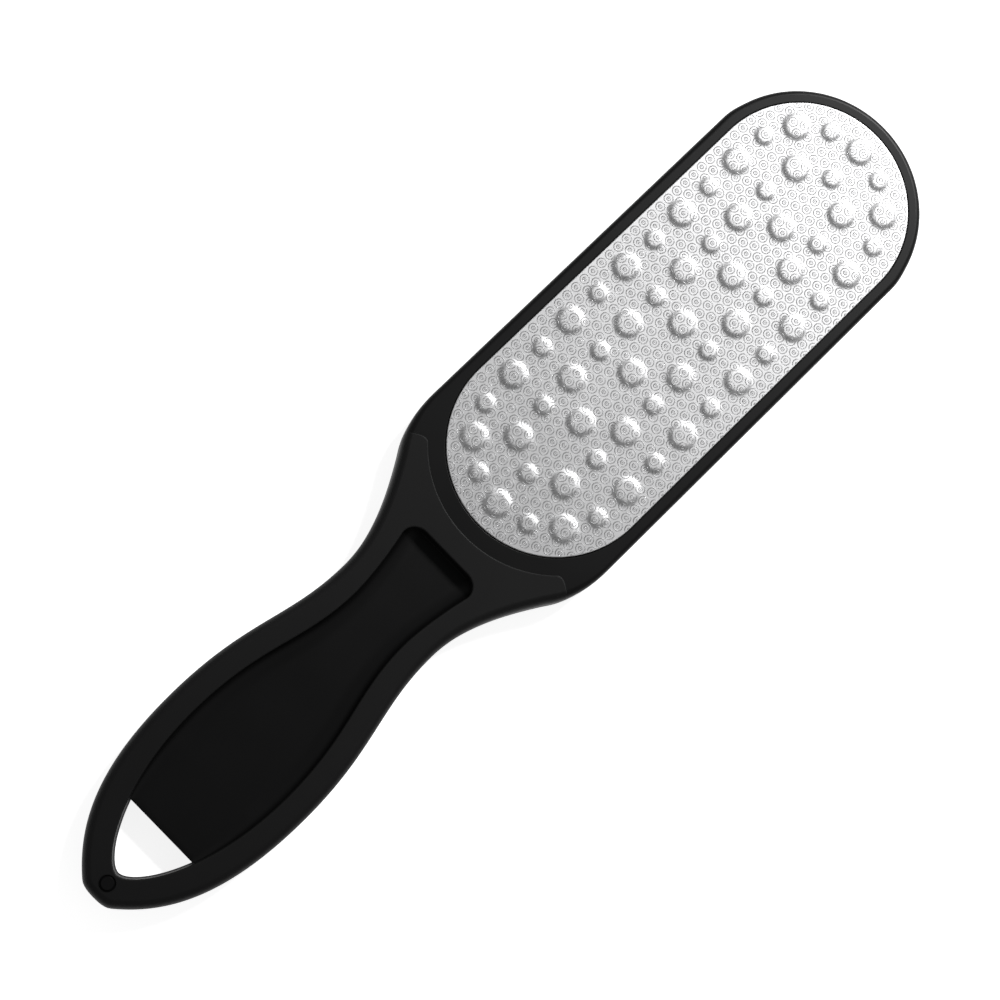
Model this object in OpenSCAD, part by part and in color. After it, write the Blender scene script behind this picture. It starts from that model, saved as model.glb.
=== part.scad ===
// Foot file: a paddle with a domed file plate on the front, a flat fine plate on the back,
// and a soft handle moulded over a hard core. The tool lies on its back, with its length along X,
// its head towards +X and the domed face up. Stations along the length are counted from the tail.

/* [Overall] */
// Length from the tail to the tip
overall_l = 258.4; // [248:0.1:267]
// Length from the tail to the start of the plates
handle_l = 119.8; // [117:0.2:122]
// Thickness of the handle over its soft faces
handle_t = 10; // [9.8:0.1:12]

/* [Head] */
// Width of the head
head_w = 57.4; // [56.4:0.1:60]
// Thickness of the hard head
head_t = 9.4; // [9.2:0.1:9.7]
// Distance from the start of the plates to where the head is full width
shoulder_run = 14.2; // [12.5:0.1:17.5]
// Radius of the round at the tip
tip_r = 28.6; // [27.6:0.1:29]
// Angle that the tip's round covers on each side of the axis
tip_turn = 73; // [69:1:76]
// Distance from the tip back to where the straight sides end
tip_run = 26.9; // [25.5:0.1:29]
// Rounding of the head's edges
head_edge_r = 1.2; // [0.6:0.1:1.6]

/* [Handle outline] */
// Distance from the tail to the widest point of the handle
belly_x = 44.7; // [42:0.1:48]
// Width of the handle at its widest point
belly_w = 41.2; // [38:0.2:43]
// Distance from the tail to the narrowest point of the handle
waist_x = 90.9; // [87:0.1:93]
// Width of the handle at its narrowest point
waist_w = 28.9; // [27.6:0.1:31]
// Distance from the steepest point of the shoulders to the start of the plates
flank_back = 1.7; // [1.2:0.1:3]
// Width over the shoulders at their steepest point
flank_w = 48.3; // [47.4:0.1:49.4]
// Angle of the shoulders to the axis at their steepest point
flank_angle = 31; // [27:1:35]
// Depth of the blunt tail end
tail_corner_x = 1; // [0.8:0.1:1.4]
// Width of the blunt tail end
tail_corner_w = 9; // [8:0.2:10]
// Angle of the sides to the axis where the tail end starts
tail_flare = 50.5; // [45:0.5:53]
// Rounding of the handle's edges
handle_edge_r = 2; // [1.4:0.1:2.6]

/* [Soft grip] */
// Width of the hard collar between the plates' round end and the grip
collar_w = 4.1; // [3.2:0.1:5]
// Distance from the start of the plates to the end of the grip's round edge
horn_run = 5.4; // [4.5:0.1:6]
// Width of the grip's horns at their outer corners
horn_w = 4.1; // [3.8:0.1:4.4]
// Distance that a horn's outer corner lies behind its inner one
horn_back = 1.9; // [1.2:0.1:2.6]
// Angle of the horns' ends to the axis
horn_angle = 45; // [40:1:60]
// Thickness of the soft skin over the faces of the core
skin_t = 1.8; // [1.2:0.1:2.4]
// Thickness of the soft skin over the sides of the core
side_skin = 1.8; // [1.2:0.1:2.4]

/* [Thumb pockets and hang hole] */
// Width of the rim round the pockets
rim_w = 6.4; // [5.6:0.1:7]
// Length of the rim at the tail
tail_wall = 7.1; // [6.4:0.1:8]
// Distance from the pockets' head end to the start of the plates
pocket_end_back = 10; // [9:0.1:12]
// Width of the pockets at their head end
pocket_end_w = 20.8; // [20:0.2:23]
// Corner radius of the pockets at their head end
pocket_corner_r = 4.1; // [3:0.1:5]
// Distance that the foot of a pocket's wall stands in from its top
wall_foot = 0.4; // [0.2:0.1:1]
// Rounding of the pockets' top edge
lip_r = 0.3; // [0.2:0.05:0.5]
// Thickness of the web between the two pockets
web_t = 2.8; // [2:0.1:4]
// Distance from the tail to the straight end of the web
web_end_x = 20.6; // [18.5:0.1:25]
// Thickness of the soft lining on the inside of the rim
lining_t = 1.4; // [1:0.1:1.8]
// Diameter of the locating boss at the tail
boss_d = 3.5; // [2.6:0.1:3.7]
// Depth that the boss lies below the grip's faces
boss_sink = 0.15; // [0.05:0.05:0.4]

/* [Plates] */
// Width of the plates
plate_w = 50.7; // [49.5:0.1:51.4]
// Distance from the plates' far end to the tip
tip_rim = 3.3; // [2.5:0.1:5]
// Thickness of the sheet
plate_t = 0.5; // [0.4:0.05:0.8]
// Thickness of the adhesive film
adhesive_t = 0.2; // [0.1:0.05:0.3]
// Gap round the plates in their seats
seat_gap = 0.25; // [0.1:0.05:0.4]

/* [Domes] */
// Distance between two rows of domes along the plate
dome_pitch = 9.4; // [8.9:0.1:10.7]
// Distance from the axis to the outer rows
outer_row_y = 18.8; // [18:0.1:19.4]
// Distance from the axis to the middle rows
mid_row_y = 8.8; // [7.8:0.1:9.6]
// Distance from the plate's ends in which the side rows stop
row_end_margin = 17.4; // [15.4:0.2:19.4]
// Distance that the last dome of each outer row is drawn in
outer_draw_in = 0.3; // [0:0.1:0.8]
// Distance that the last dome of each middle row is drawn in
mid_draw_in = 1.05; // [0.4:0.05:1.4]
// Distance between the domes on the axis
axis_pitch = 17; // [16.2:0.1:17.8]
// Distance from the plate's ends in which the even row on the axis stops
axis_end_margin = 29; // [27:0.5:33]
// Diameter of a large dome at its foot
big_d = 6.8; // [5.8:0.1:7]
// Diameter of a large dome at its shoulder
big_top_d = 4.2; // [3.8:0.1:5]
// Height of a large dome
big_h = 0.55; // [0.4:0.05:1]
// Diameter of a small dome at its foot
small_d = 4.6; // [4:0.1:4.8]
// Diameter of a small dome at its shoulder
small_top_d = 2.6; // [2.2:0.1:3.2]
// Height of a small dome
small_h = 0.45; // [0.35:0.05:0.8]

/* [Hidden] */
$fn = 48;

// Colours
core_colour = [0.1, 0.1, 0.11];
grip_colour = [0.13, 0.13, 0.14];
plate_colour = [0.76, 0.76, 0.78];
film_colour = [0.9, 0.88, 0.8];

// One overrun for every cut, and the least distance that tells a point from the axis
overrun = 1;
axis_tol = 0.001;

// Stations along the length, and levels from the middle plane
shoulder_x = handle_l + shoulder_run;
flank_x = handle_l - flank_back;
plate_x0 = handle_l;
plate_x1 = overall_l - tip_rim;
plate_r = plate_w / 2;
plate_c0 = plate_x0 + plate_r;
plate_c1 = plate_x1 - plate_r;
plate_mid = (plate_x0 + plate_x1) / 2;
plate_half_l = (plate_x1 - plate_x0) / 2;
tip_c = overall_l - tip_r;
face_z = handle_t / 2;
head_face_z = head_t / 2;
core_face_z = face_z - skin_t;
seat_z = face_z - plate_t - adhesive_t;
web_face_z = web_t / 2;

// Shares of a stretch that the handles of its curves take, chosen by eye
nose_rise_share = 0.53;
nose_back_share = 0.65;
tail_out_share = 0.276;
belly_back_share = 0.564;
belly_on_share = 0.48;
waist_back_share = 0.36;
waist_on_share = 0.41;
flank_back_share = 0.24;
flank_on_share = 0.11;
shoulder_back_share = 0.64;

// Shares of the wall's foot and of the pocket's depth, from the floor up
wall_shares = [[1, 0], [0.7, 0.06], [0.42, 0.16], [0.2, 0.34]];

// A dome's profile: shares of its foot's overhang past the shoulder and of its height, from the foot
// to the shoulder, and then shares of the shoulder's radius and of the height
flank_shares = [[1, 0], [0.64, 0.2], [0.14, 0.84]];
crown_shares = [[0.86, 1], [0, 1]];
hollow_thin_share = 0.5;

// Counts of steps along the curves
nose_n = 6;
tail_n = 14;
belly_n = 13;
waist_n = 11;
flank_n = 9;
tip_n = 16;
round_n = 4;
pocket_n = 10;
corner_n = 5;
collar_n = 16;

// Points of a cubic curve from p0 towards p3, without the last one
function curve(p0, p1, p2, p3, n) = [
    for (i = [0 : n - 1])
        let (t = i / n, u = 1 - t)
        u * u * u * p0 + 3 * t * u * u * p1 + 3 * t * t * u * p2 + t * t * t * p3
];

// A point that lies a distance from p in the direction of an angle
function step_to(p, angle, distance) = p + distance * [cos(angle), sin(angle)];

// The mirror image of a point, and a half outline closed with its mirror image
function mirrored(p) = [p[0], -p[1]];
function closed(half) = concat(
    half,
    [for (i = [len(half) - 1 : -1 : 0]) if (abs(half[i][1]) > axis_tol) mirrored(half[i])]
);

// Half outline of the whole tool, from the tail to the tip
tail_start = [0, 0];
tail_corner = [tail_corner_x, tail_corner_w / 2];
belly = [belly_x, belly_w / 2];
waist = [waist_x, waist_w / 2];
flank = [flank_x, flank_w / 2];
shoulder = [shoulder_x, head_w / 2];
side_end = [overall_l - tip_run, head_w / 2];
tail_half = curve(
    tail_start, [0, tail_corner[1] * nose_rise_share],
    step_to(tail_corner, tail_flare, -nose_back_share * tail_corner_x / cos(tail_flare)), tail_corner, nose_n
);
side_half = curve(
    tail_corner, step_to(tail_corner, tail_flare, (belly_x - tail_corner_x) * tail_out_share),
    belly - [(belly_x - tail_corner_x) * belly_back_share, 0], belly, tail_n
);
belly_half = curve(
    belly, belly + [(waist_x - belly_x) * belly_on_share, 0],
    waist - [(waist_x - belly_x) * waist_back_share, 0], waist, belly_n
);
waist_half = curve(
    waist, waist + [(flank_x - waist_x) * waist_on_share, 0],
    step_to(flank, flank_angle, -(flank_x - waist_x) * flank_back_share), flank, waist_n
);
flank_half = curve(
    flank, step_to(flank, flank_angle, (shoulder_x - flank_x) * flank_on_share),
    shoulder - [(shoulder_x - flank_x) * shoulder_back_share, 0], shoulder, flank_n
);
tip_half = [
    for (i = [0 : tip_n])
        let (angle = tip_turn * (1 - i / tip_n))
        [tip_c + tip_r * cos(angle), tip_r * sin(angle)]
];
outline = concat(tail_half, side_half, belly_half, waist_half, flank_half, [shoulder, side_end], tip_half);
last = len(outline) - 1;
waist_i = len(tail_half) + len(side_half) + len(belly_half);
shoulder_i = waist_i + len(waist_half) + len(flank_half);

// The unit normal that points into the tool at a point of the half outline
function before(i) = i == 0 ? mirrored(outline[1]) : outline[i - 1];
function after(i) = i == last ? mirrored(outline[last - 1]) : outline[i + 1];
function inward(i) = let (d = after(i) - before(i)) [d[1], -d[0]] / norm(d);
function inset(distance) = [for (i = [0 : last]) outline[i] + inward(i) * distance];

// Rounding of the edges, which eases from the handle's to the head's along the shoulders
function ease(t) = let (u = min(max(t, 0), 1)) u * u * (3 - 2 * u);
function edge_r(x) = handle_edge_r + (head_edge_r - handle_edge_r) * ease((x - flank_x) / (shoulder_x - flank_x));

// One level of a body with rounded edges: a half outline of points with their heights
function edge_level(i0, i1, angle, top_z, side) = [
    for (i = [i0 : i1])
        let (r = edge_r(outline[i][0]), p = outline[i] + inward(i) * r * (1 - cos(angle)))
        [p[0], p[1], side * (top_z - r * (1 - sin(angle)))]
];
function edge_levels(i0, i1, top_z) = concat(
    [for (k = [round_n : -1 : 0]) edge_level(i0, i1, 90 * k / round_n, top_z, -1)],
    [for (k = [0 : round_n]) edge_level(i0, i1, 90 * k / round_n, top_z, 1)]
);
function closed_level(half) = concat(
    half,
    [for (i = [len(half) - 1 : -1 : 0]) if (abs(half[i][1]) > axis_tol) [half[i][0], -half[i][1], half[i][2]]]
);

// Triangles of a flat end: a strip across the axis, from each point to its mirror image. The ring runs
// clockwise seen from above, and turned over is the end that faces down
function strip(n, half_n, on_axis, first, turned) = [
    for (i = [0 : half_n - 2])
        let (shift = on_axis ? 0 : 1, a = i, b = i + 1, c = (n - b - shift) % n, d = (n - a - shift) % n)
        for (t = [[a, b, c], [a, c, d]])
            if (t[0] != t[1] && t[1] != t[2] && t[2] != t[0])
                turned ? [first + t[2], first + t[1], first + t[0]] : [first + t[0], first + t[1], first + t[2]]
];

// A solid through half levels that hold the same number of points, each closed with its mirror image
module loft(halves) {
    levels = [for (half = halves) closed_level(half)];
    n = len(levels[0]);
    top = len(levels) - 1;
    on_axis = abs(halves[0][0][1]) < axis_tol;
    polyhedron(
        points = [for (level = levels) for (p = level) p],
        faces = concat(
            strip(n, len(halves[0]), on_axis, 0, true),
            strip(n, len(halves[0]), on_axis, top * n, false),
            [for (k = [0 : top - 1]) for (i = [0 : n - 1]) [k * n + i, k * n + (i + 1) % n, (k + 1) * n + (i + 1) % n]],
            [for (k = [0 : top - 1]) for (i = [0 : n - 1]) [k * n + i, (k + 1) * n + (i + 1) % n, (k + 1) * n + i]]
        ),
        convexity = 8
    );
}

// A plate shape or a hole of an outline, centred on the middle plane
module slab(points, thickness) {
    translate([0, 0, -thickness / 2])
        linear_extrude(thickness)
            polygon(points);
}

// The tool's frame: the middle of its length, on the surface that it lies on
module in_frame() {
    translate([-overall_l / 2, 0, face_z])
        children();
}

// Half outline of the pockets, where their walls stand a distance in from the tool's outline
function pocket_half(distance) =
    let (
        deeper = distance - rim_w,
        nose = [tail_wall + deeper, 0],
        wide = [belly_x, belly_w / 2 - distance],
        narrow = [waist_x - rim_w * pocket_waist_share, waist_w / 2 - distance],
        bend = [handle_l - pocket_end_back - pocket_corner_r - deeper, pocket_end_w / 2 - deeper],
        end = [handle_l - pocket_end_back - deeper, bend[1] - pocket_corner_r * pocket_turn_share],
        reach = bend[0] - narrow[0]
    )
    concat(
        curve(
            nose, nose + [0, wide[1] * nose_lift_share],
            wide - [(wide[0] - nose[0]) * nose_back_run_share, 0], wide, pocket_n
        ),
        curve(
            wide, wide + [(narrow[0] - wide[0]) * belly_on_share, 0],
            narrow - [(narrow[0] - wide[0]) * waist_back_share, 0], narrow, pocket_n
        ),
        curve(
            narrow, narrow + [reach * pocket_on_share, 0],
            step_to(bend, pocket_flare, -reach * pocket_bend_share), bend, pocket_n
        ),
        curve(
            bend, step_to(bend, pocket_flare, pocket_corner_r * corner_share),
            end + [0, pocket_corner_r * corner_share], end, corner_n
        ),
        [end]
    );
pocket_waist_share = 0.42;
pocket_turn_share = 0.9;
nose_lift_share = 0.29;
nose_back_run_share = 0.64;
pocket_on_share = 0.22;
pocket_bend_share = 0.4;
corner_share = 0.55;
pocket_flare = 13;

// Levels of the opening between the two pockets, from the middle plane up: the distance in from the
// tool's outline, and the height
wall_levels = concat(
    [for (s = wall_shares) [rim_w + wall_foot * s[0], web_face_z + (face_z - web_face_z) * s[1]]],
    [for (k = [0 : 2])
        let (angle = 45 * k)
        [rim_w - lip_r * (1 - cos(angle)), face_z - lip_r * (1 - sin(angle))]],
    [[rim_w - lip_r, face_z + overrun]]
);
function pocket_level(level, side) = [for (p = pocket_half(level[0])) [p[0], p[1], side * level[1]]];
module pocket_opening() {
    loft(concat(
        [for (k = [len(wall_levels) - 1 : -1 : 0]) pocket_level(wall_levels[k], -1)],
        [for (k = [0 : len(wall_levels) - 1]) pocket_level(wall_levels[k], 1)]
    ));
}

// The grip's zone seen from above: all of the handle with its shoulders, up to an arc round the
// plates' end and the ends of the two horns
collar_r = plate_r + collar_w;
collar_angle = acos((plate_c0 - handle_l - horn_run) / collar_r);
horn_end = [plate_c0 - collar_r * cos(collar_angle), collar_r * sin(collar_angle)];
horn_corner = horn_end + [-horn_back, horn_w];
horn_round_share = 0.5;
zone_side = head_w / 2 + overrun;
grip_zone = closed(concat(
    [[-overrun, 0], [-overrun, zone_side]],
    [[horn_corner[0] - (zone_side - horn_corner[1]) / tan(horn_angle), zone_side]],
    curve(
        horn_corner, step_to(horn_corner, -horn_angle, horn_w * horn_round_share),
        step_to(horn_end, 90 - collar_angle, horn_w * horn_round_share), horn_end, corner_n
    ),
    [for (i = [0 : collar_n])
        let (angle = collar_angle * (1 - i / collar_n))
        [plate_c0 - collar_r * cos(angle), collar_r * sin(angle)]]
));

// The hard frame inside the handle: a loop that follows the rim, joined to the head under the collar
module core_frame() {
    difference() {
        slab(closed([for (p = inset(side_skin)) if (p[0] < shoulder_x) p]), core_face_z * 2);
        slab(closed(pocket_half(rim_w - lining_t)), handle_t);
    }
}

// The web between the pockets, a tongue of the core with a straight end at the hang hole
module core_web() {
    intersection() {
        slab(closed(pocket_half(rim_w - lining_t - side_skin / 2)), web_t);
        translate([web_end_x, -head_w / 2, -web_t])
            cube([handle_l - web_end_x, head_w, web_t * 2]);
    }
}

// The boss that holds the core in place while the grip is moulded, as long as it is asked for
boss_shift_share = 0.95;
boss_x = (tail_wall - lip_r) / 2 + tail_corner_x * boss_shift_share;
module boss(length) {
    translate([boss_x, 0, -length / 2])
        cylinder(d = boss_d, h = length);
}

// A shape with round ends of the plates' outline, from one level up to another
module plate_shape(margin, z0, z1) {
    for (x = [plate_c0, plate_c1]) {
        translate([x, 0, z0])
            cylinder(r = plate_r + margin, h = z1 - z0, $fn = 96);
    }
    translate([plate_c0, -plate_r - margin, z0])
        cube([plate_c1 - plate_c0, plate_w + margin * 2, z1 - z0]);
}

// Hard core: the head with a seat in each face, the frame inside the handle, the web and the boss
module handle_core() {
    color(core_colour)
        in_frame() {
            difference() {
                union() {
                    difference() {
                        loft(edge_levels(waist_i, last, head_face_z));
                        slab(grip_zone, handle_t + overrun);
                    }
                    core_frame();
                    core_web();
                }
                plate_shape(seat_gap, seat_z, face_z + overrun);
                mirror([0, 0, 1])
                    plate_shape(seat_gap, seat_z, face_z + overrun);
            }
            boss(handle_t - boss_sink * 2);
        }
}

// Soft grip: one moulding round the core, with the two pockets open to the web
module soft_grip() {
    color(grip_colour)
        in_frame()
            difference() {
                intersection() {
                    loft(edge_levels(0, shoulder_i, face_z));
                    slab(grip_zone, handle_t + overrun);
                }
                pocket_opening();
                core_frame();
                core_web();
                boss(handle_t + overrun);
            }
}

// One dome on the front plate, as a solid cap whose flank runs on down into the sheet
module dome(foot_d, top_d, height) {
    top_r = top_d / 2;
    hang = foot_d / 2 - top_r;
    shape = [for (s = flank_shares) [top_r + hang * s[0], height * s[1]]];
    root = shape[0] + (shape[0] - shape[1]) * (plate_t / 2 / (shape[1][1] - shape[0][1]));
    rotate_extrude()
        polygon(concat(
            [[0, root[1]], root],
            [for (i = [1 : len(shape) - 1]) shape[i]],
            [for (s = crown_shares) [top_r * s[0], height * s[1]]]
        ));
}

// The hollow that the pressing leaves under a dome
module hollow(foot_d, top_d, height) {
    foot = [foot_d / 2 - plate_t * hollow_thin_share, -plate_t];
    top = [top_d / 2 - plate_t * hollow_thin_share, height - plate_t];
    root = foot + (foot - top) * (plate_t / height);
    rotate_extrude()
        polygon([[0, root[1]], root, top, [0, top[1]]]);
}

// Places of the domes, from the middle of the plate: [x, y]
side_n = floor((plate_half_l - row_end_margin) / dome_pitch);
axis_n = floor((plate_half_l - axis_end_margin) / axis_pitch);
corner_big = [13.2, 14.8];
corner_small = [8, 8.2];
end_big_back = 6.2;
end_small_back = 16.1;
signs = [-1, 1];
function outer_y(k) = outer_row_y - (abs(k) == side_n ? outer_draw_in : 0);
function mid_y(k) = mid_row_y - (abs(k) == side_n ? mid_draw_in : 0);
big_places = concat(
    [for (k = [-side_n : side_n], s = signs) [k * dome_pitch, s * (k % 2 == 0 ? outer_y(k) : mid_y(k))]],
    [for (a = signs, s = signs) [a * (plate_half_l - corner_big[0]), s * corner_big[1]]],
    [for (k = [-axis_n : axis_n]) [k * axis_pitch, 0]],
    [for (a = signs) [a * (plate_half_l - end_big_back), 0]]
);
small_places = concat(
    [for (k = [-side_n : side_n], s = signs) [k * dome_pitch, s * (k % 2 == 0 ? mid_y(k) : outer_y(k))]],
    [for (a = signs, s = signs) [a * (plate_half_l - corner_small[0]), s * corner_small[1]]],
    [for (a = signs) [a * (plate_half_l - end_small_back), 0]]
);
module at_places(places) {
    for (p = places) {
        translate([plate_mid + p[0], p[1], face_z])
            children();
    }
}

// Coarse file plate: thin sheet with pressed domes, hollow from behind
module front_plate() {
    color(plate_colour)
        in_frame()
            difference() {
                union() {
                    plate_shape(0, face_z - plate_t, face_z);
                    at_places(big_places)
                        dome(big_d, big_top_d, big_h);
                    at_places(small_places)
                        dome(small_d, small_top_d, small_h);
                }
                at_places(big_places)
                    hollow(big_d, big_top_d, big_h);
                at_places(small_places)
                    hollow(small_d, small_top_d, small_h);
            }
}

// Fine file plate: the same sheet, flat
module rear_plate() {
    color(plate_colour)
        in_frame()
            plate_shape(0, -face_z, -face_z + plate_t);
}

// Adhesive film that fills the seat under a plate
module adhesive_film() {
    plate_shape(0, seat_z, seat_z + adhesive_t);
}

module front_adhesive() {
    color(film_colour)
        in_frame()
            adhesive_film();
}

module rear_adhesive() {
    color(film_colour)
        in_frame()
            mirror([0, 0, 1])
                adhesive_film();
}

handle_core();
soft_grip();
front_plate();
rear_plate();
front_adhesive();
rear_adhesive();
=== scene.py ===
import logging
import math
from collections.abc import Callable, Sequence
from dataclasses import dataclass, field
from enum import Enum
from functools import reduce

import bpy
import numpy as np
from bpy.types import ID, Material, Node, NodeOutputs, NodeSocket, NodeTree, Object
from mathutils import Euler, Matrix, Vector
from mathutils.geometry import delaunay_2d_cdt


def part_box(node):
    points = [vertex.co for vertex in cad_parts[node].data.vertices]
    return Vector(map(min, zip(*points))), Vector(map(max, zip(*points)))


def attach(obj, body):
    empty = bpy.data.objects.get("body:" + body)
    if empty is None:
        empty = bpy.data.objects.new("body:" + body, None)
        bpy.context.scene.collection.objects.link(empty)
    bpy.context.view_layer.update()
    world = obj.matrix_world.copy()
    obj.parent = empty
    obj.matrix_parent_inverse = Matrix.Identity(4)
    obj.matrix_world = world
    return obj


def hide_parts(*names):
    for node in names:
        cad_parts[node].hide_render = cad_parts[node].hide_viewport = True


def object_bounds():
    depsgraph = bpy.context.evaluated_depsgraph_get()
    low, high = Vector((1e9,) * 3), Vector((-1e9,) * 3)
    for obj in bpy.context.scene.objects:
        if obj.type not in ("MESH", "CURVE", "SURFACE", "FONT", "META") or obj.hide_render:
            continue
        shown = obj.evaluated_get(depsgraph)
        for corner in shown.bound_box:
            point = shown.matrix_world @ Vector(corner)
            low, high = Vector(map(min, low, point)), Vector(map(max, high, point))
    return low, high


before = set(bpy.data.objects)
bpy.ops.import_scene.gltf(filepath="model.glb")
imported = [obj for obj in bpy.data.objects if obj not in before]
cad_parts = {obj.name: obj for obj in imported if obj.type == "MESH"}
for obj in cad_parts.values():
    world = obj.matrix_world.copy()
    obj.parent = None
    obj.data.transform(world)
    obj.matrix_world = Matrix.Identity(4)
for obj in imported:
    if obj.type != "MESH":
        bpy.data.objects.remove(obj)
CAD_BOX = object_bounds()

LOG = logging.getLogger("foot_file")

Array = np.ndarray
Body = tuple[Array, list]
Point = Sequence[float]
Pair = tuple[float, float]
Triple = tuple[float, float, float]

# Sizes are in millimetres, with X counted from the tail and Z from the surface that the tool lies on
MM = 0.001

# Angles from the side of a rounded edge to its face, and how far in each lies as a share of the radius, on an
# edge that is round and on a foot that is hollow
ROUND_STEPS = tuple(math.radians(angle) for angle in (0, 12, 25, 40, 55, 70, 90))
ROUND_SHARES = tuple(1 - math.cos(angle) for angle in ROUND_STEPS)
HOLLOW_SHARES = tuple(1 - math.sin(angle) for angle in ROUND_STEPS)

# Two points nearer than this are one, a step that looks upright is this wide, and past a rounded edge
# one more line, this far on, keeps the edge's shading off the flat face
SAME_POINT = 0.0005
STEP_WIDTH = 0.02
FLAT_GUARD = 0.15

# Points that are measured against a line at once, which bounds the memory
POINTS_AT_ONCE = 2000

# The boss at the tail: its place, how far it stands over the head's faces, and the sides of its circles
BOSS_X = 4.35
BOSS_RISE = 0.15
BOSS_SIDES = 40

# Scales of the coarse grain and of the clouds in the tone, as shares of the fine grain's scale
COARSE_GRAIN_SHARE = 0.22
CLOUD_SHARE = 0.02

# Inputs of the tree that lays the rings, with their kinds
RING_INPUTS = {"Sheet": "Object", "Finish": "Material", "Shift": "Vector"} | dict.fromkeys(
    ("Pitch", "Row Spacing", "Ring Radius", "Inner Radius", "Ridge Width", "Ridge Height", "End X",
     "End Radius", "Facing"), "Float")


class Side(Enum):
    """The two faces of the tool."""

    FRONT = 1
    BACK = -1


def smooth(share: Array) -> Array:
    """The share, from 0 to 1, with soft ends."""
    return share * share * (3 - 2 * share)


def cubic(p0: Point, p1: Point, p2: Point, p3: Point, count: int) -> Array:
    """Points of a cubic curve, without the last one.

    Args:
        p0: First point.
        p1: Handle of the first point.
        p2: Handle of the last point.
        p3: Last point.
        count: Number of points.

    Returns:
        One row for each point.
    """
    t = np.arange(count)[:, None] / count
    u = 1 - t
    a, b, c, d = (np.asarray(p, float) for p in (p0, p1, p2, p3))
    return u ** 3 * a + 3 * t * u ** 2 * b + 3 * t ** 2 * u * c + t ** 3 * d


def step_to(point: Point, angle: float, distance: float) -> Array:
    """The place that lies a distance from a point in a direction in degrees."""
    turn = math.radians(angle)
    return np.asarray(point, float) + distance * np.array([math.cos(turn), math.sin(turn)])


def curve(start: Array, leave: float, end: Array, arrive: float, shares: Pair, count: int) -> Array:
    """Points of a cubic curve that is set by its directions, without the last one.

    Args:
        start: First point.
        leave: Direction at the first point, in degrees.
        end: Last point.
        arrive: Direction at the last point, in degrees.
        shares: Lengths of the two handles, as shares of the run along X.
        count: Number of points.

    Returns:
        One row for each point.
    """
    run = end[0] - start[0]
    return cubic(start, step_to(start, leave, run * shares[0]), step_to(end, arrive, -run * shares[1]), end,
                 count)


def arc(centre: Point, radius: float, start: float, end: float, count: int) -> Array:
    """Points of an arc from one angle in degrees to another, with both ends."""
    turn = np.radians(np.linspace(start, end, count + 1))
    return np.asarray(centre, float) + radius * np.stack([np.cos(turn), np.sin(turn)], axis=1)


def circle(centre: Point, radius: float, sides: int) -> Array:
    """A circle as a closed line with its inside on the left."""
    return arc(centre, radius, 0, 360, sides)[:-1]


def mirrored(half: Array) -> Array:
    """A closed line from its half on the positive side of the axis."""
    other = half[::-1] * np.array([1, -1])
    return np.concatenate([half, other[np.abs(other[:, 1]) > SAME_POINT]])


def turned_left(line: Array) -> Array:
    """The closed line in the direction that keeps its inside on the left."""
    after = np.roll(line, -1, axis=0)
    area = np.sum(line[:, 0] * after[:, 1] - after[:, 0] * line[:, 1])
    return line if area > 0 else line[::-1]


def even(line: Array, step: float) -> Array:
    """The closed line with its points about a step apart.

    Args:
        line: Closed line.
        step: Distance between two points.

    Returns:
        Points on the same line, at even distances.
    """
    closed = np.concatenate([line, line[:1]])
    lengths = np.linalg.norm(np.diff(closed, axis=0), axis=1)
    along = np.concatenate([[0], np.cumsum(lengths)])
    places = np.linspace(0, along[-1], int(along[-1] / step), endpoint=False)
    return np.stack([np.interp(places, along, closed[:, i]) for i in (0, 1)], axis=1)


def inset(line: Array, distance: float | Array) -> Array:
    """The closed line moved towards its inside.

    Args:
        line: Closed line with its inside on the left.
        distance: How far it moves, for all points or for each.

    Returns:
        The moved line.
    """
    along = np.roll(line, -1, axis=0) - np.roll(line, 1, axis=0)
    inward = np.stack([-along[:, 1], along[:, 0]], axis=1)
    inward /= np.linalg.norm(inward, axis=1)[:, None]
    return line + inward * np.reshape(distance, (-1, 1))


def depth(points: Array, line: Array) -> Array:
    """Distance of points from a closed line, positive inside it.

    Args:
        points: One row for each point.
        line: Closed line.

    Returns:
        One distance for each point.
    """
    a, b = line, np.roll(line, -1, axis=0)
    run = b - a
    square = np.maximum(np.sum(run ** 2, axis=1), SAME_POINT ** 2)
    found = []
    for part in np.array_split(points, max(1, len(points) // POINTS_AT_ONCE)):
        offset = part[:, None] - a
        share = np.clip(np.sum(offset * run, axis=2) / square, 0, 1)
        gap = np.linalg.norm(offset - share[:, :, None] * run, axis=2).min(axis=1)
        above = a[:, 1] > part[:, 1:]
        crosses = above != (b[:, 1] > part[:, 1:])
        with np.errstate(divide="ignore", invalid="ignore"):
            hit = a[:, 0] + (part[:, 1:] - a[:, 1]) * run[:, 0] / run[:, 1]
        inside = np.sum(crosses & (part[:, :1] < hit), axis=1) % 2 == 1
        found.append(np.where(inside, gap, -gap))
    return np.concatenate(found)


def rounding(distance: Array, radius: float | Array) -> Array:
    """How far a rounded edge lies below its face, at a distance in from its side."""
    rest = radius - np.clip(distance, 0, radius)
    return radius - np.sqrt(np.maximum(radius ** 2 - rest ** 2, 0))


def round_insets(line: Array, radius: float | Array) -> list[Array]:
    """The lines that a rounded edge needs, from its side to its face and a little past it."""
    return [*(inset(line, radius * share) for share in ROUND_SHARES), inset(line, radius + FLAT_GUARD)]


def hollow_insets(line: Array, width: float | Array) -> list[Array]:
    """The lines that a hollow foot needs, from its full width back to its wall."""
    return [inset(line, width * share) for share in HOLLOW_SHARES]


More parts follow.
